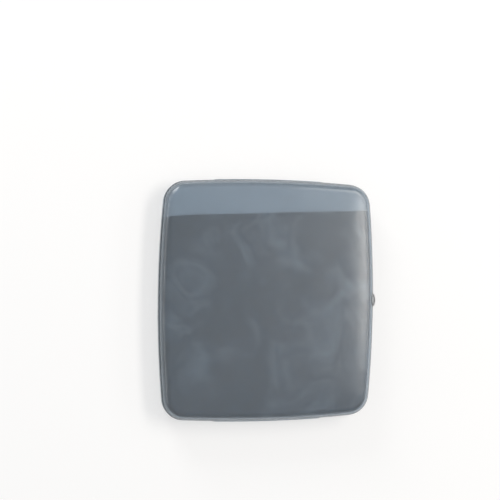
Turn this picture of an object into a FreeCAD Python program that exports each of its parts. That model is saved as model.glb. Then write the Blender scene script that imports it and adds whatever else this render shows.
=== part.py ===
# Slim reusable ice pack for a lunch bag: a blow-moulded bottle of smoke-grey plastic, flat and nearly square,
# closed by a small welded plug in the middle of its right side and filled most of the way with cooling gel.
#
# The pack lies on its back face, as it comes to rest. The origin is the centre of that face. +X is the side
# with the plug, +Y the end that is up in use, where the air gap is, and +Z points out of the front face.
# All four sides bow outwards. Both faces are flat, and the edge between each of them and the rim is rounded.
# The mould's parting line runs round the rim at half thickness, with a pinched-off weld at each end. Inside,
# the wall is even, and a collar surrounds the filling hole. The gel is a frozen block that set while the pack
# stood up: its top stops short of the upper end and slopes a little.
import FreeCAD, Part
import Sketcher
import math
import os
from enum import IntEnum

doc = FreeCAD.newDocument("ice_pack")

# Driving sizes, in millimetres and degrees
SIZES = [
    ("pack_width", 115.0, "side to side, at mid height"),
    ("pack_height", 120.0, "end to end, at mid width"),
    ("pack_thickness", 12.7, "face to face, in the flat middle"),
    ("side_bow", 3.4, "how far the left and right sides bow out over the whole height"),
    ("end_bow", 2.3, "how far the upper and lower ends bow out over the whole width"),
    ("corner_radius", 11.0, "the four corners, at half thickness"),
    ("edge_radius", 5.0, "the rounded edge between each face and the rim"),
    ("wall", 1.1, "the bottle's wall"),
    ("seam_height", 0.3, "how far the parting line stands out of the rim"),
    ("seam_width", 0.6, "the parting line's width"),
    ("pinch_length", 58.0, "the pinched-off weld in the middle of each end"),
    ("pinch_rise", 0.25, "how far that weld stands out past the parting line"),
    ("pinch_width", 1.3, "that weld's width"),
    ("bore_diameter", 5.0, "the filling hole"),
    ("collar_wall", 1.0, "the collar's wall round the filling hole"),
    ("collar_depth", 4.6, "the collar's length, from its outer face inwards"),
    ("collar_rise", 0.1, "how far the collar's outer face stands out past the parting line"),
    ("plug_clearance", 0.03, "between the plug's shank and the hole, all round"),
    ("head_overlap", 1.0, "how far the plug's head reaches past the hole, all round"),
    ("head_brim", 0.3, "the head's straight side, under its dome"),
    ("head_dome", 0.45, "how far the head's top is domed"),
    ("shank_length", 4.0, "the plug's shank, under its head"),
    ("lead_in_length", 0.6, "the taper at the shank's end"),
    ("lead_in_depth", 0.3, "how much that taper takes off the shank's radius"),
    ("least_rounding", 0.3, "the smallest rounding on an inner edge"),
    ("gel_gap", 0.15, "between the gel and the wall"),
    ("air_gap", 17.0, "from the upper end down to the gel's surface, at mid width"),
    ("gel_slope", 2.2, "the tilt of that surface, higher towards the plug's side"),
]

sheet = doc.addObject("Spreadsheet::Sheet", "dims")
for row, (alias, amount, note) in enumerate(SIZES, start=1):
    sheet.set(f"A{row}", alias)
    sheet.set(f"B{row}", str(amount))
    sheet.set(f"C{row}", note)
    sheet.setAlias(f"B{row}", alias)
doc.recompute()

# Sizes worked out from the driving ones
MIDDLE = "dims.pack_thickness / 2"
SIDE_ARC = "((dims.pack_height / 2) ^ 2 + dims.side_bow ^ 2) / (2 * dims.side_bow)"
END_ARC = "((dims.pack_width / 2) ^ 2 + dims.end_bow ^ 2) / (2 * dims.end_bow)"
OUTER_EDGE = f"min(dims.edge_radius; {MIDDLE} - dims.seam_width / 2)"
PINCH_ARC = f"{END_ARC} + dims.seam_height + dims.pinch_rise"
PINCH_ROOT = f"{END_ARC} - dims.wall / 2"
COLLAR_FACE = "dims.pack_width / 2 + dims.seam_height + dims.collar_rise"
COLLAR_DIAMETER = "dims.bore_diameter + 2 * dims.collar_wall"
GEL_INSET = "dims.wall + dims.gel_gap"


class Point(IntEnum):
    """A line's or an arc's points, as constraints name them."""

    START = 1
    END = 2
    CENTRE = 3


class Axis(IntEnum):
    """A sketch's own axes. The start of its X axis is its origin."""

    X = -1
    Y = -2


START, END, CENTRE = Point
ORIGIN = (Axis.X, START)


def value(expression):
    """The number that an expression on the sheet gives now."""
    return float(sheet.evalExpression(expression))


def new_sketch(body, name, role):
    """An empty sketch on one of the body's own origin planes."""
    sketch = body.newObject("Sketcher::SketchObject", name)
    plane = next(feature for feature in body.Origin.OriginFeatures if feature.Role == role)
    sketch.AttachmentSupport = [(plane, "")]
    sketch.MapMode = "FlatFace"
    return sketch


def hold(sketch, kind, *where):
    """Adds a constraint that has no size."""
    sketch.addConstraint(Sketcher.Constraint(kind, *where))


def drive(sketch, name, expression, kind, *where):
    """Adds a dimension, named and bound to the sheet."""
    number = sketch.addConstraint(Sketcher.Constraint(kind, *where, value(expression)))
    sketch.renameConstraint(number, name)
    sketch.setExpression(f"Constraints.{name}", expression)


def add_arc(sketch, centre, radius, start, end):
    """Adds an arc of a circle, from one angle to another."""
    circle = Part.Circle(FreeCAD.Vector(*centre, 0), FreeCAD.Vector(0, 0, 1), radius)
    return sketch.addGeometry(Part.ArcOfCircle(circle, start, end), False)


def add_lines(sketch, points):
    """Adds straight lines from each point to the next, joined end to end."""
    numbers = []
    for begin, finish in zip(points, points[1:]):
        line = Part.LineSegment(FreeCAD.Vector(*begin, 0), FreeCAD.Vector(*finish, 0))
        numbers.append(sketch.addGeometry(line, False))
    for first, second in zip(numbers, numbers[1:]):
        hold(sketch, "Coincident", first, END, second, START)
    return numbers


def corner_arc(side, end, corner):
    """The upper right corner arc's centre, and the angles at which it meets the side's arc and the end's."""
    side_x = value(f"dims.pack_width / 2 - {SIDE_ARC}")
    end_y = value(f"dims.pack_height / 2 - {END_ARC}")
    to_side, to_end, apart = side - corner, end - corner, math.hypot(side_x, end_y)
    along = (to_side ** 2 - to_end ** 2 + apart ** 2) / (2 * apart)
    off = math.sqrt(to_side ** 2 - along ** 2)
    x = side_x + (-side_x * along - end_y * off) / apart
    y = (end_y * along - side_x * off) / apart
    return (x, y), math.atan2(y, x - side_x), math.atan2(y - end_y, x)


def bowed_outline(body, name, inset):
    """The outline at half thickness, moved inwards by inset: four long arcs and four corner arcs."""
    sketch = new_sketch(body, name, "XY_Plane")
    sketch.setExpression("AttachmentOffset.Base.z", MIDDLE)
    side_radius, end_radius = f"{SIDE_ARC} - ({inset})", f"{END_ARC} - ({inset})"
    side_offset, end_offset = f"{SIDE_ARC} - dims.pack_width / 2", f"{END_ARC} - dims.pack_height / 2"
    corner_radius = f"dims.corner_radius - ({inset})"
    side, end, corner = value(side_radius), value(end_radius), value(corner_radius)
    shift_x, shift_y = value(side_offset), value(end_offset)
    (x, y), low, high = corner_arc(side, end, corner)
    half_turn, full_turn = math.pi, 2 * math.pi
    right = add_arc(sketch, (-shift_x, 0), side, -low, low)
    upper_right = add_arc(sketch, (x, y), corner, low, high)
    upper = add_arc(sketch, (0, -shift_y), end, high, half_turn - high)
    upper_left = add_arc(sketch, (-x, y), corner, half_turn - high, half_turn - low)
    left = add_arc(sketch, (shift_x, 0), side, half_turn - low, half_turn + low)
    lower_left = add_arc(sketch, (-x, -y), corner, half_turn + low, half_turn + high)
    lower = add_arc(sketch, (0, shift_y), end, half_turn + high, full_turn - high)
    lower_right = add_arc(sketch, (x, -y), corner, full_turn - high, full_turn - low)
    loop = [right, upper_right, upper, upper_left, left, lower_left, lower, lower_right]
    for first, second in zip(loop, loop[1:] + loop[:1]):
        hold(sketch, "Tangent", first, END, second, START)
    for piece, axis in ((right, Axis.X), (left, Axis.X), (upper, Axis.Y), (lower, Axis.Y)):
        hold(sketch, "PointOnObject", piece, CENTRE, axis)
    hold(sketch, "Equal", right, left)
    hold(sketch, "Equal", upper, lower)
    for piece in (upper_left, lower_left, lower_right):
        hold(sketch, "Equal", upper_right, piece)
    drive(sketch, "side_radius", side_radius, "Radius", right)
    drive(sketch, "end_radius", end_radius, "Radius", upper)
    drive(sketch, "corner_radius", corner_radius, "Radius", upper_right)
    drive(sketch, "right_centre", side_offset, "DistanceX", right, CENTRE, *ORIGIN)
    drive(sketch, "left_centre", side_offset, "DistanceX", *ORIGIN, left, CENTRE)
    drive(sketch, "upper_centre", end_offset, "DistanceY", upper, CENTRE, *ORIGIN)
    drive(sketch, "lower_centre", end_offset, "DistanceY", *ORIGIN, lower, CENTRE)
    return sketch


def pad(body, name, sketch, length, symmetric=True):
    """Adds a sketch's area to the body, over the given length."""
    feature = body.newObject("PartDesign::Pad", name)
    feature.Profile = sketch
    feature.SideType = "Symmetric" if symmetric else "One side"
    feature.setExpression("Length", length)
    doc.recompute()
    return feature


def pocket(body, name, sketch, length, symmetric=False):
    """Takes a sketch's area out of the body, and checks that this took something."""
    before = body.Shape.Volume
    feature = body.newObject("PartDesign::Pocket", name)
    feature.Profile = sketch
    feature.SideType = "Symmetric" if symmetric else "One side"
    feature.setExpression("Length", length)
    doc.recompute()
    assert body.Shape.Volume < before, f"{name} cut nothing"
    return feature


def mirror(body, name, feature, sketch):
    """Repeats a feature on the other side of its sketch's horizontal axis."""
    copy = body.newObject("PartDesign::Mirrored", name)
    copy.Originals = [feature]
    copy.MirrorPlane = (sketch, ["H_Axis"])
    body.Tip = copy
    doc.recompute()
    return copy


def face_edges(shape):
    """The names of the edges round both flat faces: those that start and end on one side of the middle."""
    middle = value(MIDDLE)
    names = []
    for number, edge in enumerate(shape.Edges, start=1):
        first, last = edge.valueAt(edge.FirstParameter), edge.valueAt(edge.LastParameter)
        if (first.z - middle) * (last.z - middle) > 0:
            names.append(f"Edge{number}")
    return names


def slab(body, name, inset):
    """The whole form, moved inwards by inset: the outline between two flat faces, with rounded edges."""
    outline = bowed_outline(body, f"{name}_outline", inset)
    block = pad(body, f"{name}_block", outline, f"2 * ({MIDDLE} - ({inset}))")
    rounded = body.newObject("PartDesign::Fillet", f"{name}_edges")
    rounded.Base = (block, face_edges(block.Shape))
    rounded.setExpression("Radius", f"max({OUTER_EDGE} - ({inset}); dims.least_rounding)")
    doc.recompute()


def hole_circle(body, name, place, diameter):
    """A circle round the filling hole's axis, in a plane across it."""
    sketch = new_sketch(body, name, "YZ_Plane")
    sketch.setExpression("AttachmentOffset.Base.y", MIDDLE)
    sketch.setExpression("AttachmentOffset.Base.z", place)
    circle = Part.Circle(FreeCAD.Vector(0, 0, 0), FreeCAD.Vector(0, 0, 1), value(diameter) / 2)
    ring = sketch.addGeometry(circle, False)
    hold(sketch, "Coincident", ring, CENTRE, *ORIGIN)
    drive(sketch, "diameter", diameter, "Diameter", ring)
    return sketch


def pinched_ends(body):
    """The low welds that the mould pinches off in the middle of the upper and lower ends."""
    sketch = new_sketch(body, "pinch_outline", "XY_Plane")
    sketch.setExpression("AttachmentOffset.Base.z", MIDDLE)
    offset = f"{END_ARC} - dims.pack_height / 2"
    shift, half = value(offset), value("dims.pinch_length / 2")
    outer, root = value(PINCH_ARC), value(PINCH_ROOT)
    outer_turn, root_turn = math.asin(half / outer), math.asin(half / root)
    upright = math.pi / 2
    over = add_arc(sketch, (0, -shift), outer, upright - outer_turn, upright + outer_turn)
    under = add_arc(sketch, (0, -shift), root, upright - root_turn, upright + root_turn)
    over_y, under_y = outer * math.cos(outer_turn) - shift, root * math.cos(root_turn) - shift
    right, = add_lines(sketch, [(half, under_y), (half, over_y)])
    left, = add_lines(sketch, [(-half, under_y), (-half, over_y)])
    hold(sketch, "Coincident", right, END, over, START)
    hold(sketch, "Coincident", right, START, under, START)
    hold(sketch, "Coincident", left, END, over, END)
    hold(sketch, "Coincident", left, START, under, END)
    hold(sketch, "Coincident", over, CENTRE, under, CENTRE)
    hold(sketch, "PointOnObject", over, CENTRE, Axis.Y)
    hold(sketch, "Symmetric", over, START, over, END, Axis.Y)
    hold(sketch, "Vertical", right)
    hold(sketch, "Vertical", left)
    drive(sketch, "outside", PINCH_ARC, "Radius", over)
    drive(sketch, "root", PINCH_ROOT, "Radius", under)
    drive(sketch, "length", "dims.pinch_length", "DistanceX", over, END, over, START)
    drive(sketch, "centre", offset, "DistanceY", over, CENTRE, *ORIGIN)
    weld = pad(body, "pinch_weld", sketch, "dims.pinch_width")
    mirror(body, "pinch_mirrored", weld, sketch)


def make_cavity():
    """The space inside the bottle, with the collar left standing in it."""
    body = doc.addObject("PartDesign::Body", "cavity")
    slab(body, "cavity", "dims.wall")
    collar = hole_circle(body, "collar_outline", COLLAR_FACE, COLLAR_DIAMETER)
    pocket(body, "collar", collar, "dims.collar_depth")
    return body


def make_shell(cavity):
    """The blow-moulded bottle."""
    body = doc.addObject("PartDesign::Body", "shell")
    body.Label = "shell"
    slab(body, "skin", "0")
    seam = bowed_outline(body, "seam_outline", "-dims.seam_height")
    pad(body, "parting_line", seam, "dims.seam_width")
    pinched_ends(body)
    boss = hole_circle(body, "boss_outline", f"{COLLAR_FACE} - dims.collar_depth", COLLAR_DIAMETER)
    pad(body, "boss", boss, "dims.collar_depth", symmetric=False)
    hollow = body.newObject("PartDesign::Boolean", "hollow")
    hollow.setObjects([cavity])
    hollow.Type = "Cut"
    doc.recompute()
    bore = hole_circle(body, "bore_outline", COLLAR_FACE, "dims.bore_diameter")
    pocket(body, "bore", bore, "dims.collar_depth")
    return body


def make_plug():
    """The plug, welded on once the pack is full: a domed head on the collar and a shank in the hole."""
    body = doc.addObject("PartDesign::Body", "fill_plug")
    body.Label = "fill_plug"
    sketch = new_sketch(body, "plug_profile", "XZ_Plane")
    sketch.setExpression("AttachmentOffset.Base.x", COLLAR_FACE)
    sketch.setExpression("AttachmentOffset.Base.y", MIDDLE)
    shank_radius = "dims.bore_diameter / 2 - dims.plug_clearance"
    tip_radius = f"{shank_radius} - dims.lead_in_depth"
    head_radius = "(dims.bore_diameter / 2 + dims.head_overlap)"
    dome_radius = f"({head_radius} ^ 2 + dims.head_dome ^ 2) / (2 * dims.head_dome)"
    head_height = "dims.head_brim + dims.head_dome"
    length, taper = value("dims.shank_length"), value("dims.lead_in_length")
    shank, tip, head = value(shank_radius), value(tip_radius), value(head_radius)
    dome, height, brim = value(dome_radius), value(head_height), value("dims.head_brim")
    shank_points = [(height, 0), (-length, 0), (-length, tip), (taper - length, shank), (0, shank)]
    points = shank_points + [(0, head), (brim, head)]
    axis, tip_end, lead_in, side, underside, edge = add_lines(sketch, points)
    top = add_arc(sketch, (height - dome, 0), dome, 0, math.asin(head / dome))
    hold(sketch, "Coincident", edge, END, top, END)
    hold(sketch, "Coincident", axis, START, top, START)
    hold(sketch, "PointOnObject", top, CENTRE, Axis.X)
    hold(sketch, "PointOnObject", axis, START, Axis.X)
    hold(sketch, "PointOnObject", axis, END, Axis.X)
    hold(sketch, "PointOnObject", underside, START, Axis.Y)
    hold(sketch, "Vertical", tip_end)
    hold(sketch, "Horizontal", side)
    hold(sketch, "Vertical", underside)
    hold(sketch, "Horizontal", edge)
    drive(sketch, "shank_length", "dims.shank_length", "DistanceX", axis, END, *ORIGIN)
    drive(sketch, "lead_in", "dims.lead_in_length", "DistanceX", lead_in, START, lead_in, END)
    drive(sketch, "tip_radius", tip_radius, "DistanceY", *ORIGIN, tip_end, END)
    drive(sketch, "shank_radius", shank_radius, "DistanceY", *ORIGIN, side, START)
    drive(sketch, "head_radius", head_radius, "DistanceY", *ORIGIN, underside, END)
    drive(sketch, "head_brim", "dims.head_brim", "DistanceX", *ORIGIN, edge, END)
    drive(sketch, "head_height", head_height, "DistanceX", *ORIGIN, axis, START)
    turned = body.newObject("PartDesign::Revolution", "turned")
    turned.Profile = sketch
    turned.ReferenceAxis = (sketch, ["H_Axis"])
    turned.Angle = 360
    doc.recompute()
    return body


def make_gel():
    """The block of gel: the cavity's form less a small gap, cut off at its sloping surface."""
    body = doc.addObject("PartDesign::Body", "gel")
    body.Label = "gel"
    slab(body, "gel", GEL_INSET)
    clear = hole_circle(body, "clearance_outline", COLLAR_FACE, f"{COLLAR_DIAMETER} + 2 * dims.gel_gap")
    pocket(body, "collar_clearance", clear, "max(dims.collar_depth; dims.shank_length) + dims.gel_gap")
    sketch = new_sketch(body, "surface_outline", "XY_Plane")
    sketch.setExpression("AttachmentOffset.Base.y", "dims.pack_height / 2 - dims.air_gap")
    sketch.setExpression("AttachmentOffset.Base.z", MIDDLE)
    sketch.setExpression("AttachmentOffset.Rotation.Angle", "dims.gel_slope")
    half, deep = value("dims.pack_width"), value("dims.pack_height")
    points = [(-half, 0), (half, 0), (half, deep), (-half, deep), (-half, 0)]
    surface, right, top, left = add_lines(sketch, points)
    hold(sketch, "Coincident", left, END, surface, START)
    hold(sketch, "PointOnObject", surface, START, Axis.X)
    hold(sketch, "Horizontal", surface)
    hold(sketch, "Vertical", right)
    hold(sketch, "Horizontal", top)
    hold(sketch, "Vertical", left)
    drive(sketch, "leftwards", "dims.pack_width", "DistanceX", surface, START, *ORIGIN)
    drive(sketch, "rightwards", "dims.pack_width", "DistanceX", *ORIGIN, surface, END)
    drive(sketch, "upwards", "dims.pack_height", "DistanceY", right, START, right, END)
    pocket(body, "air_space", sketch, "dims.pack_thickness", symmetric=True)
    return body


pieces = [make_shell(make_cavity()), make_plug(), make_gel()]
doc.recompute()

# Nothing is written unless every object and every piece is sound
for item in doc.Objects:
    assert not {"Invalid", "Error"} & set(item.State), f"{item.Name} failed: {item.State}"
for piece in pieces:
    shape = piece.Shape
    assert not shape.isNull() and shape.isValid(), f"{piece.Label} has no sound shape"
    assert len(shape.Solids) == 1, f"{piece.Label} is not one solid"

os.makedirs("parts", exist_ok=True)
for piece in pieces:
    piece.Shape.exportStep(f"parts/{piece.Label}.step")
    print(piece.Label, round(piece.Shape.Volume / 1000, 2), "cm3")
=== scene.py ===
import math

import bmesh
import bpy
from mathutils import Matrix, Vector, noise


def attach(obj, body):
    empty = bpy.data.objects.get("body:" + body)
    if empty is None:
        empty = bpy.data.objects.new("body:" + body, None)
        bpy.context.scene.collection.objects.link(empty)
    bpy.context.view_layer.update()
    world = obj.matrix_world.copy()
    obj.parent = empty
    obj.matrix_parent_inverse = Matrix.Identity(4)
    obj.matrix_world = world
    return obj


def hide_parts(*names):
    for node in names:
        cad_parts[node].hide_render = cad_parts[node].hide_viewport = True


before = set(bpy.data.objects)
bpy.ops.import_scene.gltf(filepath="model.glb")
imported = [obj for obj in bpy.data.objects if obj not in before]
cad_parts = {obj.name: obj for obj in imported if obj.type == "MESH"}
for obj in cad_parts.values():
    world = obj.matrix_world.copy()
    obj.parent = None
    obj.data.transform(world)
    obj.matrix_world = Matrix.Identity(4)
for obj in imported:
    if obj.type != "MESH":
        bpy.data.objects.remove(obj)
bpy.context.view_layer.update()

# A slim reusable ice pack lying on its back face: a blow-moulded bottle of smoke-grey translucent
# plastic, a small welded plug in its right side and cloudy gel inside. Lengths are in metres.
MM = 0.001
TURN = 2 * math.pi

# The bottle. Its faces sink by CROWN at their edges. This grows with the share of the way out to the
# power CROWN_POWER, so nearly all of it is close to the edge.
WIDTH = 115.0 * MM
HEIGHT = 120.0 * MM
THICKNESS = 12.7 * MM
MIDDLE = THICKNESS / 2
SIDE_BOW = 3.4 * MM
END_BOW = 2.3 * MM
CORNER = 11.0 * MM
EDGE = 5.0 * MM
CROWN = 0.35 * MM
CROWN_POWER = 12
WALL = 1.1 * MM
WAVE = 0.05 * MM
WALL_WAVE = 0.06 * MM

# The parting line round the rim and the pinched-off weld on it at each end.
SEAM_RISE = 0.3 * MM
SEAM_HALF = 0.3 * MM
PINCH_HALF_LENGTH = 29.0 * MM
PINCH_RISE = 0.25 * MM
PINCH_HALF = 0.65 * MM
STEP_BLEND = 0.06 * MM
PINCH_END_BLEND = 0.6 * MM

# The boss that carries the plug, the collar inside it and the filling hole.
COLLAR_FACE = 57.9 * MM
COLLAR_RADIUS = 3.5 * MM
COLLAR_DEPTH = 4.6 * MM
BOSS_FLAT = 0.1 * MM
BOSS_FOOT = 0.6 * MM
BORE_RADIUS = 2.5 * MM
BORE_START = 50.0 * MM

# The plug. Its head has a thin weld bead at its foot and a small dished gate mark in its top.
SHANK_RADIUS = 2.47 * MM
SHANK_LENGTH = 4.0 * MM
TIP_LENGTH = 0.6 * MM
TIP_TAPER = 0.3 * MM
HEAD_RADIUS = 3.5 * MM
HEAD_HEIGHT = 0.75 * MM
BRIM = 0.25 * MM
SHOULDER = 1.1 * MM
BEAD_WAVE = 0.09 * MM
BEAD_GRAIN = 0.04 * MM

# The gel: how far it lies in from the bottle's outside, its room round the collar and the plug, and
# its surface, which climbs a little where it meets the faces.
GEL_INSET = 1.25 * MM
GEL_WAVE = 0.03 * MM
CLEARANCE_RADIUS = 3.65 * MM
CLEARANCE_DEPTH = 4.75 * MM
GEL_LEVEL = 43.0 * MM
GEL_SLOPE = math.radians(2.2)
GEL_CLIMB = 0.7 * MM
LEVEL_WAVE = 0.35 * MM
LEVEL_GRAIN = 0.15 * MM

# Past these a point is near a side or an end, or may be on the boss. OUTSIDE is past the whole pack.
NEAR_RIM = 50.0 * MM
NEAR_BOSS = 45.0 * MM
OUTSIDE = 62.0 * MM

# Spacing of the outline's stations: at the plug, at the ends of the welds, elsewhere and inside.
PLUG_STEP = 0.22 * MM
WELD_STEP = 0.5 * MM
PLAIN_STEP = 1.15 * MM
INNER_STEP = 1.5 * MM
PLUG_REACH = 7.0 * MM
WELD_REACH = 2.5 * MM
TOOL_SIDES = 64
PLUG_SIDES = 72


def ease(x, low, high):
    """Goes smoothly from 0 at low to 1 at high."""
    t = min(max((x - low) / (high - low), 0.0), 1.0)
    return t * t * (3 - 2 * t)


def within(x, half, blend=STEP_BLEND):
    """1 up to about half, 0 beyond it, with a smooth step as wide as blend on each side."""
    return 1 - ease(x, half - blend, half + blend)


def outline_arcs():
    """The outline's eight arcs, anticlockwise from the lower end of the right side.

    Each is given as its centre, its radius and its first and last angle. A corner's centre is where
    the side's and the end's arcs, both taken inwards by the corner's radius, cross.
    """
    side = (HEIGHT ** 2 / 4 + SIDE_BOW ** 2) / (2 * SIDE_BOW)
    end = (WIDTH ** 2 / 4 + END_BOW ** 2) / (2 * END_BOW)
    side_x, end_y = WIDTH / 2 - side, HEIGHT / 2 - end
    to_side, to_end, apart = side - CORNER, end - CORNER, math.hypot(side_x, end_y)
    along = (to_side ** 2 - to_end ** 2 + apart ** 2) / (2 * apart)
    off = math.sqrt(to_side ** 2 - along ** 2)
    x = side_x + (-side_x * along - end_y * off) / apart
    y = (end_y * along - side_x * off) / apart
    low, high = math.atan2(y, x - side_x), math.atan2(y - end_y, x)
    half = math.pi
    return [
        ((side_x, 0), side, -low, low),
        ((x, y), CORNER, low, high),
        ((0, end_y), end, high, half - high),
        ((-x, y), CORNER, half - high, half - low),
        ((-side_x, 0), side, half - low, half + low),
        ((-x, -y), CORNER, half + low, half + high),
        ((0, -end_y), end, half + high, TURN - high),
        ((x, -y), CORNER, TURN - high, TURN - low),
    ]


def stations(step):
    """Points round the outline with their outward directions, spaced as step(x, y) says."""
    found = []
    for (cx, cy), radius, first, last in outline_arcs():
        turns = [first]
        while turns[-1] < last:
            a = turns[-1]
            turns.append(a + step(cx + radius * math.cos(a), cy + radius * math.sin(a)) / radius)
        stretch = (last - first) / (turns[-1] - first)
        for a in turns[:-1]:
            a = first + (a - first) * stretch
            n = Vector((math.cos(a), math.sin(a), 0))
            found.append((Vector((cx, cy, 0)) + radius * n, n))
    return found


def fine_step(x, y):
    """Close stations near the plug and at the ends of the pinched-off welds."""
    if x > NEAR_RIM and abs(y) < PLUG_REACH:
        return PLUG_STEP
    if abs(y) > NEAR_RIM and abs(abs(x) - PINCH_HALF_LENGTH) < WELD_REACH:
        return WELD_STEP
    return PLAIN_STEP


def even_step(x, y):
    """Stations for the forms inside, which have no fine detail."""
    return INNER_STEP


def rim_heights():
    """How far the bottle's rings on its rim lie from the middle, with three at each edge there."""
    edges = [half + off for half in (SEAM_HALF, PINCH_HALF) for off in (-STEP_BLEND, 0, STEP_BLEND)]
    above = sorted(edges + [0.12 * MM, 0.45 * MM, 0.8 * MM, 1.05 * MM])
    return [-z for z in reversed(above)] + [0] + above


def profile(inset, arc_steps, rim, face_steps):
    """Rings from the middle of the back face round the rim to the middle of the front face.

    Each is given as how far in from the outline it is, how high, its lean (0 on the rim, 1 on the
    faces) and its share of the way out from the middle. rim has the rim's heights from its middle.
    The rings on the faces lie closer together towards the edge.
    """
    radius = EDGE - inset
    half = [(EDGE, inset, 1.0, 1 - (1 - s / face_steps) ** 1.5) for s in range(1, face_steps)]
    for i in range(arc_steps + 1):
        a = math.pi / 2 * i / arc_steps
        lean = 1 - math.sin(a)
        half.append((inset + radius * lean, inset + radius * (1 - math.cos(a)), lean, 1.0))
    between = [(inset, MIDDLE + z, 0.0, 1.0) for z in rim]
    return half + between + [(d, THICKNESS - z, lean, s) for d, z, lean, s in reversed(half)]


def crowned(p, lean, share):
    """Sinks the faces a little towards their edges."""
    p.z += CROWN * lean * share ** CROWN_POWER * (-1 if p.z > MIDDLE else 1)
    return p


def lift(p, outward, lean):
    """The direction out of the form at a point."""
    return outward * (1 - lean) + Vector((0, 0, lean if p.z > MIDDLE else -lean))


def skin(rings, points, shape):
    """A closed mesh over rings of points. shape moves each point from where the plain form has it."""
    mesh = bmesh.new()
    rows = []
    for inset, z, lean, share in rings:
        row = []
        for place, outward in points:
            flat = (place - inset * outward) * share
            plain = crowned(Vector((flat.x, flat.y, z)), lean, share)
            row.append(mesh.verts.new(shape(plain, outward, lean)))
        rows.append(row)
    n = len(points)
    for lower, upper in zip(rows, rows[1:]):
        for i in range(n):
            j = (i + 1) % n
            mesh.faces.new((lower[i], lower[j], upper[j], upper[i]))
    for row, backwards in ((rows[0], True), (rows[-1], False)):
        z = rings[0][1] if backwards else rings[-1][1]
        centre = mesh.verts.new(shape(Vector((0, 0, z)), Vector((0, 0, 0)), 1.0))
        for i in range(n):
            j = (i + 1) % n
            mesh.faces.new((row[j], row[i], centre) if backwards else (row[i], row[j], centre))
    return mesh


def to_object(name, mesh):
    """Makes an object of a bmesh."""
    data = bpy.data.meshes.new(name)
    mesh.to_mesh(data)
    mesh.free()
    made = bpy.data.objects.new(name, data)
    bpy.context.scene.collection.objects.link(made)
    return made


def lathe(name, outline, sides, wobble=None):
    """A turned form about the plug's axis. outline is (x, radius) from one end to the other.

    wobble(radius, angle) is added to the radius.
    """
    mesh = bmesh.new()
    rows = []
    for x, radius in outline:
        if radius == 0:
            rows.append([mesh.verts.new((x, 0, MIDDLE))])
            continue
        row = []
        for i in range(sides):
            a = TURN * i / sides
            r = radius + (wobble(radius, a) if wobble else 0)
            row.append(mesh.verts.new((x, r * math.cos(a), MIDDLE + r * math.sin(a))))
        rows.append(row)
    for low, up in zip(rows, rows[1:]):
        for i in range(sides):
            j = (i + 1) % sides
            if len(low) == 1:
                mesh.faces.new((low[0], up[j], up[i]))
            elif len(up) == 1:
                mesh.faces.new((low[i], low[j], up[0]))
            else:
                mesh.faces.new((low[i], low[j], up[j], up[i]))
    bmesh.ops.recalc_face_normals(mesh, faces=mesh.faces)
    return to_object(name, mesh)


def rod(name, start, radius):
    """A plain round tool about the plug's axis, from start out past the pack's side."""
    outline = [(start, 0), (start, radius), (OUTSIDE, radius), (OUTSIDE, 0)]
    return lathe(name, outline, TOOL_SIDES)


def cut(piece, tool):
    """Takes tool's form out of piece."""
    step = piece.modifiers.new("cut", "BOOLEAN")
    step.operation = "DIFFERENCE"
    step.solver = "EXACT"
    step.object = tool
    bpy.context.view_layer.update()
    depsgraph = bpy.context.evaluated_depsgraph_get()
    result = bpy.data.meshes.new_from_object(piece.evaluated_get(depsgraph))
    piece.modifiers.clear()
    piece.data = result
    bpy.data.objects.remove(tool)


def smooth(piece, angle):
    """Shades the piece smoothly, apart from edges sharper than angle in degrees."""
    for face in piece.data.polygons:
        face.use_smooth = True
    piece.data.set_sharp_from_angle(angle=math.radians(angle))


def outer_shape(p, outward, lean):
    """The bottle's outside: faint waves, the parting line, the pinched-off welds and the boss."""
    ripple = noise.noise(p * 55 + Vector((3, 7, 1))) + 0.5 * noise.noise(p * 140)
    calm_rim = ease(abs(p.z - MIDDLE), 1.0 * MM, 3.0 * MM)
    p = p + lift(p, outward, lean) * (WAVE * ripple * calm_rim)
    off = abs(p.z - MIDDLE)
    if lean == 0:
        seam = within(off, SEAM_HALF)
        p = p + outward * (SEAM_RISE * seam)
        if abs(p.y) > NEAR_RIM:
            crest = 1 + 0.12 * noise.noise(Vector((p.x * 400, 0, 5)))
            weld = within(abs(p.x), PINCH_HALF_LENGTH, PINCH_END_BLEND) * within(off, PINCH_HALF)
            p = p + outward * (weld * ((SEAM_RISE + PINCH_RISE) * crest - SEAM_RISE * seam))
    if p.x > NEAR_BOSS:
        from_axis = math.hypot(p.y, p.z - MIDDLE)
        boss = 1 - ease(from_axis, COLLAR_RADIUS + BOSS_FLAT, COLLAR_RADIUS + BOSS_FOOT)
        p.x += (COLLAR_FACE - p.x) * boss
    return p


def inner_waves(p):
    """Waves that the wall's inside and the gel share."""
    return noise.noise(p * 60 + Vector((1, 2, 9)))


def inner_shape(p, outward, lean):
    """The bottle's inside, with the wall a little uneven."""
    return p + lift(p, outward, lean) * (WALL_WAVE * inner_waves(p))


def gel_shape(p, outward, lean):
    """The gel's outside, which follows the inside of the bottle."""
    return p - lift(p, outward, lean) * (GEL_WAVE * (1 + inner_waves(p)))


def inner_skin(name, inset, shape):
    """A form inside the bottle, inset from its outside."""
    rings = profile(inset, arc_steps=12, rim=(-0.7 * MM, 0, 0.7 * MM), face_steps=16)
    return to_object(name, skin(rings, stations(even_step), shape))


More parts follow.
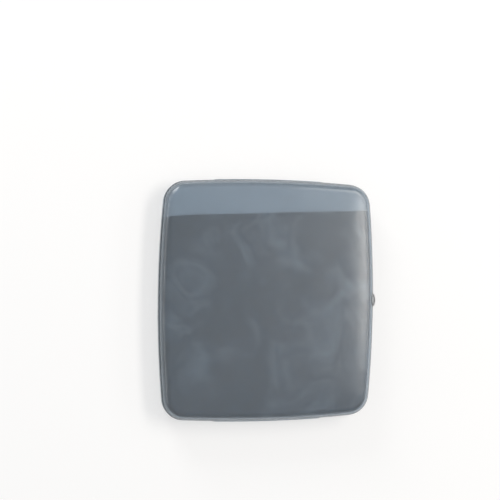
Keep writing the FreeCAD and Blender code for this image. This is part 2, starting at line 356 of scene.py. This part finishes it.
def make_shell():
    """The blow-moulded bottle: outside, cavity with the collar, and the filling hole."""
    rings = profile(0, arc_steps=22, rim=rim_heights(), face_steps=24)
    outer = to_object("bottle", skin(rings, stations(fine_step), outer_shape))
    inner = inner_skin("cavity", WALL, inner_shape)
    cut(inner, rod("collar", COLLAR_FACE - COLLAR_DEPTH, COLLAR_RADIUS))
    mesh = bmesh.new()
    mesh.from_mesh(inner.data)
    bmesh.ops.reverse_faces(mesh, faces=mesh.faces)
    mesh.from_mesh(outer.data)
    bpy.data.objects.remove(inner)
    bpy.data.objects.remove(outer)
    shell = to_object("bottle", mesh)
    cut(shell, rod("bore", BORE_START, BORE_RADIUS))
    smooth(shell, 42)
    return shell


def bead_wobble(radius, a):
    """Makes the weld bead uneven. It is the only part that stands out of the head's side."""
    if radius <= HEAD_RADIUS + 0.01 * MM:
        return 0
    around = Vector((3 * math.cos(a), 3 * math.sin(a), 2))
    return BEAD_WAVE * noise.noise(around) + BEAD_GRAIN * noise.noise(around * 3)


def make_plug():
    """The plug: a shank with a tapered tip, a thin weld bead, a low head and a gate mark."""
    tip = -SHANK_LENGTH
    shank = [(tip, 0), (tip, 1.6 * MM), (tip, SHANK_RADIUS - TIP_TAPER),
             (tip + TIP_LENGTH, SHANK_RADIUS), (tip / 2, SHANK_RADIUS), (0, SHANK_RADIUS),
             (0, 3.0 * MM)]
    bead = [(x * MM, HEAD_RADIUS + r * MM) for x, r in (
        (0, 0.22), (0.05, 0.26), (0.12, 0.2), (0.17, 0.04), (0.2, 0), (0.25, -0.01))]
    head = []
    for i in range(1, 9):
        a = math.pi / 2 * i / 8
        head.append((BRIM + (HEAD_HEIGHT - BRIM) * math.sin(a),
                     HEAD_RADIUS - 0.02 * MM - SHOULDER * (1 - math.cos(a))))
    gate = [(HEAD_HEIGHT + x * MM, r * MM) for x, r in (
        (0.01, 1.6), (0.02, 1.0), (0.02, 0.72), (-0.02, 0.64), (-0.13, 0.55), (-0.15, 0.3), (-0.1, 0))]
    outline = [(COLLAR_FACE + x, r) for x, r in shank + bead + head + gate]
    plug = lathe("plug", outline, PLUG_SIDES, bead_wobble)
    smooth(plug, 42)
    return plug


def surface_cutter():
    """The air above the gel: a block whose lower face is the gel's uneven frozen surface."""
    mesh = bmesh.new()
    across, deep = 150, 18
    half_width, half_depth = 60 * MM, 6.6 * MM
    rows = []
    for k in range(deep + 1):
        z = -half_depth + 2 * half_depth * k / deep
        row = []
        for i in range(across + 1):
            x = -half_width + 2 * half_width * i / across
            y = GEL_LEVEL + x * math.tan(GEL_SLOPE)
            y += (LEVEL_WAVE * noise.noise(Vector((x * 90, z * 120, 4)))
                  + LEVEL_GRAIN * noise.noise(Vector((x * 420, z * 300, 8))))
            y += GEL_CLIMB * ease(abs(z), 3.6 * MM, 5.1 * MM)
            row.append(mesh.verts.new((x, y, MIDDLE + z)))
        rows.append(row)
    top = [[mesh.verts.new((v.co.x, OUTSIDE, v.co.z)) for v in (row[0], row[-1])]
           for row in (rows[0], rows[-1])]
    for low, up in zip(rows, rows[1:]):
        for i in range(across):
            mesh.faces.new((low[i], low[i + 1], up[i + 1], up[i]))
    mesh.faces.new([top[0][0]] + rows[0] + [top[0][1]])
    mesh.faces.new([top[1][0]] + rows[-1] + [top[1][1]])
    mesh.faces.new([top[0][0]] + [row[0] for row in rows] + [top[1][0]])
    mesh.faces.new([top[0][1]] + [row[-1] for row in rows] + [top[1][1]])
    mesh.faces.new([top[0][0], top[0][1], top[1][1], top[1][0]])
    bmesh.ops.recalc_face_normals(mesh, faces=mesh.faces)
    return to_object("air", mesh)


def make_gel():
    """The gel, up to its surface, with room for the collar and the plug."""
    gel = inner_skin("gel_fill", GEL_INSET, gel_shape)
    cut(gel, rod("room", COLLAR_FACE - CLEARANCE_DEPTH, CLEARANCE_RADIUS))
    cut(gel, surface_cutter())
    smooth(gel, 50)
    return gel


class Nodes:
    """Builds a material's nodes."""

    def __init__(self, name):
        self.material = bpy.data.materials.new(name)
        self.material.use_nodes = True
        self.tree = self.material.node_tree
        self.tree.nodes.clear()
        self.output = self.add("ShaderNodeOutputMaterial")

    def add(self, kind, **settings):
        node = self.tree.nodes.new(kind)
        for key, amount in settings.items():
            setattr(node, key, amount)
        return node

    def join(self, source, target):
        self.tree.links.new(source, target)

    def set_inputs(self, node, **amounts):
        """Sets sockets by name, with _ for each space."""
        for name, amount in amounts.items():
            node.inputs[name.replace("_", " ")].default_value = amount

    def shader(self, **amounts):
        """A Principled shader joined to the output."""
        node = self.add("ShaderNodeBsdfPrincipled")
        self.set_inputs(node, **amounts)
        self.join(node.outputs[0], self.output.inputs["Surface"])
        return node

    def noise(self, scale, detail=3.0, roughness=0.5, distortion=0.0):
        """Noise over the object's own coordinates."""
        place = self.add("ShaderNodeTexCoord")
        node = self.add("ShaderNodeTexNoise")
        self.join(place.outputs["Object"], node.inputs["Vector"])
        self.set_inputs(node, Scale=scale, Detail=detail, Roughness=roughness, Distortion=distortion)
        return node.outputs["Fac"]

    def remap(self, source, low, high):
        """Turns a value between 0 and 1 into one between low and high."""
        node = self.add("ShaderNodeMapRange")
        self.join(source, node.inputs["Value"])
        self.set_inputs(node, From_Min=0, From_Max=1, To_Min=low, To_Max=high)
        return node.outputs[0]

    def ramp(self, source, *stops):
        """Colours along a value. Each stop is (position, colour)."""
        node = self.add("ShaderNodeValToRGB")
        self.join(source, node.inputs[0])
        keys = node.color_ramp.elements
        while len(keys) < len(stops):
            keys.new(0.5)
        for key, (position, colour) in zip(keys, stops):
            key.position = position
            key.color = (*colour, 1)
        return node.outputs[0]

    def nearness(self, place, inner, outer, along=(1, 1, 1)):
        """1 within inner of a place, falling smoothly to 0 at outer. along says which axes count."""
        where = self.add("ShaderNodeTexCoord")
        counted = self.add("ShaderNodeVectorMath", operation="MULTIPLY")
        self.join(where.outputs["Object"], counted.inputs[0])
        counted.inputs[1].default_value = along
        apart = self.add("ShaderNodeVectorMath", operation="DISTANCE")
        self.join(counted.outputs[0], apart.inputs[0])
        apart.inputs[1].default_value = place
        fade = self.add("ShaderNodeMapRange", interpolation_type="SMOOTHSTEP")
        self.join(apart.outputs["Value"], fade.inputs["Value"])
        self.set_inputs(fade, From_Min=inner, From_Max=outer, To_Min=1, To_Max=0)
        return fade.outputs[0]

    def mix(self, share, first, second):
        """Goes from one colour to another. first is an output, second a colour."""
        node = self.add("ShaderNodeMix", data_type="RGBA")
        self.join(share, node.inputs[0])
        self.join(first, node.inputs[6])
        node.inputs[7].default_value = (*second, 1)
        return node.outputs[2]


def shell_material():
    """Smoke-grey translucent plastic, satin and a little cloudy.

    It is painted deeper in colour round the rim, painted shade for the darker look of the thick wall
    seen edge-on, and painted paler on the boss where the plug is welded, painted light that lifts the
    shade on it.
    """
    # The first colour is painted shade round the rim, for the darker look of the thick wall seen
    # edge-on.
    rim_painted_shade, boss_painted_light = (0.35, 0.405, 0.455), (0.93, 0.94, 0.95)
    nodes = Nodes("shell_plastic")
    shader = nodes.shader(Transmission_Weight=0.92, IOR=1.45, Coat_Weight=0.15, Coat_Roughness=0.14)
    cloud = nodes.noise(scale=38)
    smoke = nodes.ramp(cloud, (0, (0.45, 0.535, 0.61)), (1, (0.58, 0.655, 0.725)))
    # Where the painted shade round the rim falls: near the middle of the thickness.
    rim = nodes.nearness((0, 0, MIDDLE), inner=3.0 * MM, outer=6.2 * MM, along=(0, 0, 1))
    # The weld mask places painted light on the plug's boss: a near-white that lifts the shade the boss
    # lies in.
    weld = nodes.nearness((COLLAR_FACE, 0, MIDDLE), inner=4.1 * MM, outer=5.0 * MM)
    colour = nodes.mix(weld, nodes.mix(rim, smoke, rim_painted_shade), boss_painted_light)
    nodes.join(colour, shader.inputs["Base Color"])
    satin = nodes.remap(nodes.noise(scale=120, detail=2.0), low=0.2, high=0.255)
    nodes.join(satin, shader.inputs["Roughness"])
    return nodes.material


def plug_material():
    """Lighter, milky plastic."""
    nodes = Nodes("plug_plastic")
    shader = nodes.shader(IOR=1.45, Transmission_Weight=0.7)
    milky = nodes.ramp(nodes.noise(scale=300), (0, (0.78, 0.79, 0.80)), (1, (0.87, 0.88, 0.89)))
    nodes.join(milky, shader.inputs["Base Color"])
    satin = nodes.remap(nodes.noise(scale=500, detail=2.0), low=0.29, high=0.42)
    nodes.join(satin, shader.inputs["Roughness"])
    return nodes.material


def gel_material():
    """Cloudy frozen gel in dark tones, painted shade for the dimness deep in the filled pack, with
    pale veins and grains of its own.
    """
    # The two dark colours are painted shade; the pale one is the gel's own cloudiness.
    deep, shaded_middle, vein = (0.012, 0.028, 0.048), (0.036, 0.062, 0.096), (0.24, 0.285, 0.325)
    nodes = Nodes("cooling_gel")
    shader = nodes.shader(IOR=1.34, Roughness=0.4, Specular_IOR_Level=0.2)
    veins = nodes.noise(scale=45, detail=5.0, roughness=0.6, distortion=1.0)
    # cloudy holds the painted shade of the dark tones along with the gel's own pale veins.
    cloudy = nodes.ramp(veins, (0.25, deep), (0.5, shaded_middle), (0.75, vein))
    nodes.join(cloudy, shader.inputs["Base Color"])
    return nodes.material


def cad_material():
    """For the solids that the pieces stand for."""
    nodes = Nodes("frame_grey")
    shader = nodes.shader(Roughness=0.5)
    grey = nodes.ramp(nodes.noise(scale=50), (0, (0.4, 0.42, 0.45)), (1, (0.46, 0.48, 0.5)))
    nodes.join(grey, shader.inputs["Base Color"])
    return nodes.material


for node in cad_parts.values():
    node.data.materials.clear()
    node.data.materials.append(cad_material())

for make, material, slot, node in ((make_shell, shell_material, "shell_plastic", "shell"),
                                   (make_plug, plug_material, "plug_plastic", "fill_plug"),
                                   (make_gel, gel_material, "cooling_gel", "gel")):
    piece = make()
    piece.data.materials.clear()
    piece.data.materials.append(material())
    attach(piece, "root")
    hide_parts(node)


def seen(tree):
    """1 for rays that see a surface: from the camera, mirrored or passing through. 0 for the rest."""
    path = tree.nodes.new("ShaderNodeLightPath")
    highest = path.outputs["Is Camera Ray"]
    for kind in ("Is Glossy Ray", "Is Transmission Ray"):
        larger = tree.nodes.new("ShaderNodeMath")
        larger.operation = "MAXIMUM"
        tree.links.new(highest, larger.inputs[0])
        tree.links.new(path.outputs[kind], larger.inputs[1])
        highest = larger.outputs[0]
    return highest


def make_world(ambient):
    """White to the eye, softer as a light."""
    world = bpy.data.worlds.new("studio")
    world.use_nodes = True
    tree = world.node_tree
    tree.nodes.clear()
    output = tree.nodes.new("ShaderNodeOutputWorld")
    mix = tree.nodes.new("ShaderNodeMixShader")
    dim, white = tree.nodes.new("ShaderNodeBackground"), tree.nodes.new("ShaderNodeBackground")
    dim.inputs["Color"].default_value = (1, 1, 1, 1)
    dim.inputs["Strength"].default_value = ambient
    white.inputs["Color"].default_value = (1, 1, 1, 1)
    tree.links.new(seen(tree), mix.inputs[0])
    tree.links.new(dim.outputs[0], mix.inputs[1])
    tree.links.new(white.outputs[0], mix.inputs[2])
    tree.links.new(mix.outputs[0], output.inputs[0])
    bpy.context.scene.world = world


def make_floor(albedo):
    """A white floor that keeps the pack's soft shadow. Where it is seen, a glow makes up its white."""
    just_below, half_size, extra_glow = 0.05 * MM, 4, 0.02
    mesh = bmesh.new()
    below = Matrix.Translation((0, 0, -just_below))
    bmesh.ops.create_grid(mesh, x_segments=1, y_segments=1, size=half_size, matrix=below)
    floor = to_object("floor", mesh)
    nodes = Nodes("floor_white")
    diffuse = nodes.add("ShaderNodeBsdfDiffuse")
    diffuse.inputs["Color"].default_value = (albedo, albedo, albedo, 1)
    glow = nodes.add("ShaderNodeEmission")
    share = nodes.add("ShaderNodeMath", operation="MULTIPLY")
    nodes.join(seen(nodes.tree), share.inputs[0])
    share.inputs[1].default_value = 1 - albedo + extra_glow
    nodes.join(share.outputs[0], glow.inputs["Strength"])
    both = nodes.add("ShaderNodeAddShader")
    nodes.join(diffuse.outputs[0], both.inputs[0])
    nodes.join(glow.outputs[0], both.inputs[1])
    nodes.join(both.outputs[0], nodes.output.inputs["Surface"])
    floor.data.materials.append(nodes.material)


def softbox(name, place, aim, size, power, tint=(1, 1, 1)):
    """A rectangular light at place, facing aim."""
    data = bpy.data.lights.new(name, "AREA")
    data.shape = "RECTANGLE"
    data.size, data.size_y = size
    data.energy = power
    data.color = tint
    lamp = bpy.data.objects.new(name, data)
    bpy.context.scene.collection.objects.link(lamp)
    lamp.location = place
    lamp.rotation_euler = (Vector(aim) - Vector(place)).to_track_quat("-Z", "Y").to_euler()


def make_camera(place, turn, roll, lens):
    """Looks down on the pack from its left, as close as the photo was taken. turn is from straight
    down and roll is about the line of sight, both in degrees."""
    turn, roll = math.radians(turn), math.radians(roll)
    data = bpy.data.cameras.new("camera")
    data.sensor_width = 36
    data.lens = lens
    camera = bpy.data.objects.new("camera", data)
    bpy.context.scene.collection.objects.link(camera)
    forward = Vector((math.sin(turn), 0, -math.cos(turn)))
    right = Vector((math.cos(turn), 0, math.sin(turn)))
    up = right.cross(forward)
    rolled_right = right * math.cos(roll) + up * math.sin(roll)
    rolled_up = up * math.cos(roll) - right * math.sin(roll)
    facing = Matrix((rolled_right, rolled_up, -forward)).transposed().to_4x4()
    camera.matrix_world = Matrix.Translation(place) @ facing
    bpy.context.scene.camera = camera


make_world(ambient=0.42)
make_floor(albedo=0.45)
softbox("key", place=(0.67, 0.345, 0.873), aim=(0, 0.345, 0), size=(0.9, 0.26), power=6.3,
        tint=(1, 0.95, 0.89))
softbox("side", place=(0.89, 0.1, 0.47), aim=(0, 0.1, 0), size=(0.9, 0.2), power=1.2)
softbox("fill", place=(-0.9, 0.1, 0.1), aim=(0, 0, 0), size=(1.2, 0.2), power=2.2)
softbox("corner", place=(-0.5, 0.85, 0.3), aim=(0, 0, 0), size=(0.45, 0.35), power=5)
make_camera(place=(-0.3262, 0.0251, 0.78995), turn=21.99, roll=0.51, lens=121.8)
bpy.context.scene.view_settings.view_transform = "Standard"
